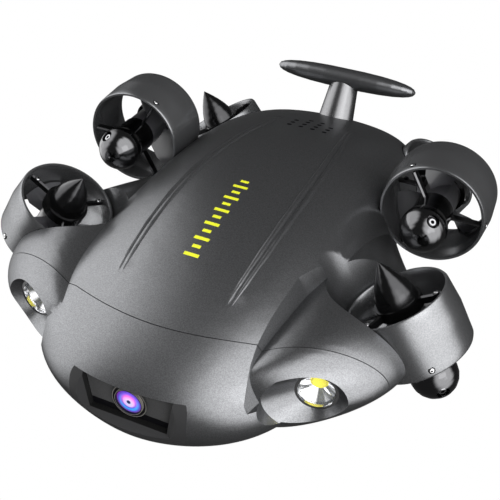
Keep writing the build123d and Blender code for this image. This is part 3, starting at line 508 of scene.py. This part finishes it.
# Painted shade: a black strip along the foot of the camera plate, just before its face, for the
# shadow in the groove there
GROOVE_LIFT = 0.00012
GROOVE_HEIGHT = 0.0048
GROOVE_FOOT_HALF = 0.0262
GROOVE_TOP_HALF = 0.0274
plate_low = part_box("camera_bezel")[0]
groove_y = plate_low.y - GROOVE_LIFT
groove_top = plate_low.z + GROOVE_HEIGHT
groove_shade_mesh = bpy.data.meshes.new("camera_groove_shade")
groove_shade_mesh.from_pydata([
    (-GROOVE_FOOT_HALF, groove_y, plate_low.z), (GROOVE_FOOT_HALF, groove_y, plate_low.z),
    (GROOVE_TOP_HALF, groove_y, groove_top), (-GROOVE_TOP_HALF, groove_y, groove_top),
], [], [(0, 1, 2, 3)])
groove_shade_mesh.materials.append(HOLE_SHADE_BLACK)
groove_shade = placed("camera_groove_shade", groove_shade_mesh)
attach(groove_shade, "vehicle")

# Floor: white to the camera and clear to every other ray, so it takes no light and no shadow
FLOOR_HALF = 6.0
floor_mesh = bpy.data.meshes.new("floor")
floor_mesh.from_pydata([(-FLOOR_HALF, -FLOOR_HALF, 0), (FLOOR_HALF, -FLOOR_HALF, 0),
                        (FLOOR_HALF, FLOOR_HALF, 0), (-FLOOR_HALF, FLOOR_HALF, 0)],
                       [], [(0, 1, 2, 3)])
floor = placed("floor", floor_mesh)
floor_look = shader("floor_white")[0]
floor_tree = floor_look.node_tree
clear = floor_tree.nodes.new("ShaderNodeBsdfTransparent")
white = floor_tree.nodes.new("ShaderNodeEmission")
floor_path = floor_tree.nodes.new("ShaderNodeLightPath")
floor_mix = floor_tree.nodes.new("ShaderNodeMixShader")
floor_end = floor_tree.nodes["Material Output"].inputs["Surface"]
floor_tree.links.new(floor_path.outputs["Is Camera Ray"], floor_mix.inputs[0])
floor_tree.links.new(clear.outputs["BSDF"], floor_mix.inputs[1])
floor_tree.links.new(white.outputs["Emission"], floor_mix.inputs[2])
floor_tree.links.new(floor_mix.outputs["Shader"], floor_end)
floor_mesh.materials.append(floor_look)

# World: white to the camera; to the object, a dark studio with a wide soft light on either
# side of the nose, each fading out between its inner and its outer angle
AMBIENT = 0.07
LEFT_LIGHT = {"azimuth": -90, "elevation": 18, "squeeze": 0.7, "inner": 28, "outer": 51,
              "strength": 2.1}
RIGHT_LIGHT = {"azimuth": 64, "elevation": 40, "squeeze": 0.6, "inner": 35, "outer": 58,
               "strength": 2.7}
WHITE = (1, 1, 1, 1)

world = bpy.data.worlds.new("studio")
bpy.context.scene.world = world
world.use_nodes = True
sky = world.node_tree
plain = sky.nodes["Background"]
plain.inputs["Color"].default_value = WHITE
shaded = sky.nodes.new("ShaderNodeBackground")
shaded.inputs["Color"].default_value = WHITE


def soft_light(azimuth, elevation, squeeze, inner, outer, strength):
    """Brightness of one soft light in the world, taller than wide where squeeze is below 1."""
    turn, rise = math.radians(azimuth), math.radians(elevation)
    aim = Vector((math.sin(turn) * math.cos(rise), -math.cos(turn) * math.cos(rise),
                  math.sin(rise) * squeeze))
    heading = sky.nodes.new("ShaderNodeTexCoord")
    press = sky.nodes.new("ShaderNodeVectorMath")
    press.operation = "MULTIPLY"
    press.inputs[1].default_value = (1, 1, squeeze)
    unit = sky.nodes.new("ShaderNodeVectorMath")
    unit.operation = "NORMALIZE"
    near = sky.nodes.new("ShaderNodeVectorMath")
    near.operation = "DOT_PRODUCT"
    near.inputs[1].default_value = aim.normalized()
    fade = sky.nodes.new("ShaderNodeMapRange")
    fade.interpolation_type = "SMOOTHSTEP"
    set_sockets(fade, {
        "From Min": math.cos(math.radians(outer)), "From Max": math.cos(math.radians(inner)),
        "To Max": strength,
    })
    sky.links.new(heading.outputs["Generated"], press.inputs[0])
    sky.links.new(press.outputs["Vector"], unit.inputs[0])
    sky.links.new(unit.outputs["Vector"], near.inputs[0])
    sky.links.new(near.outputs["Value"], fade.inputs["Value"])
    return fade.outputs["Result"]


left_sum = sky.nodes.new("ShaderNodeMath")
left_sum.inputs[1].default_value = AMBIENT
sky.links.new(soft_light(**LEFT_LIGHT), left_sum.inputs[0])
both_sum = sky.nodes.new("ShaderNodeMath")
sky.links.new(left_sum.outputs["Value"], both_sum.inputs[0])
sky.links.new(soft_light(**RIGHT_LIGHT), both_sum.inputs[1])
sky.links.new(both_sum.outputs["Value"], shaded.inputs["Strength"])
sky_path = sky.nodes.new("ShaderNodeLightPath")
sky_mix = sky.nodes.new("ShaderNodeMixShader")
sky.links.new(sky_path.outputs["Is Camera Ray"], sky_mix.inputs[0])
sky.links.new(shaded.outputs["Background"], sky_mix.inputs[1])
sky.links.new(plain.outputs["Background"], sky_mix.inputs[2])
sky.links.new(sky_mix.outputs["Shader"], sky.nodes["World Output"].inputs["Surface"])

# Two weak lamps, in metres and watts, that fill the sides
LAMP_TARGET = Vector((0, 0, 0.06))
LAMP_SIZE = (1.0, 0.8)
LEFT_LAMP_AT = Vector((-1.5, 0.1, 0.35))
RIGHT_LAMP_AT = Vector((1.2, -0.8, 0.8))
LEFT_WATTS = 1
RIGHT_WATTS = 3


def lamp(name, at, power):
    """One soft rectangular studio lamp that faces the object."""
    data = bpy.data.lights.new(name, "AREA")
    data.shape = "RECTANGLE"
    data.size, data.size_y = LAMP_SIZE
    data.energy = power
    light = placed(name, data)
    light.location = at
    light.rotation_euler = (LAMP_TARGET - at).to_track_quat("-Z", "Y").to_euler()


lamp("left_soft", LEFT_LAMP_AT, LEFT_WATTS)
lamp("right_soft", RIGHT_LAMP_AT, RIGHT_WATTS)

camera_data = bpy.data.cameras.new("camera")
camera_data.lens = LENS_MM
camera = placed("camera", camera_data)
facing = Matrix((CAMERA_RIGHT, CAMERA_UP, -CAMERA_AHEAD)).transposed()
camera.matrix_world = Matrix.Translation(CAMERA_AT) @ facing.to_4x4()
bpy.context.scene.camera = camera
bpy.context.scene.view_settings.view_transform = "Standard"
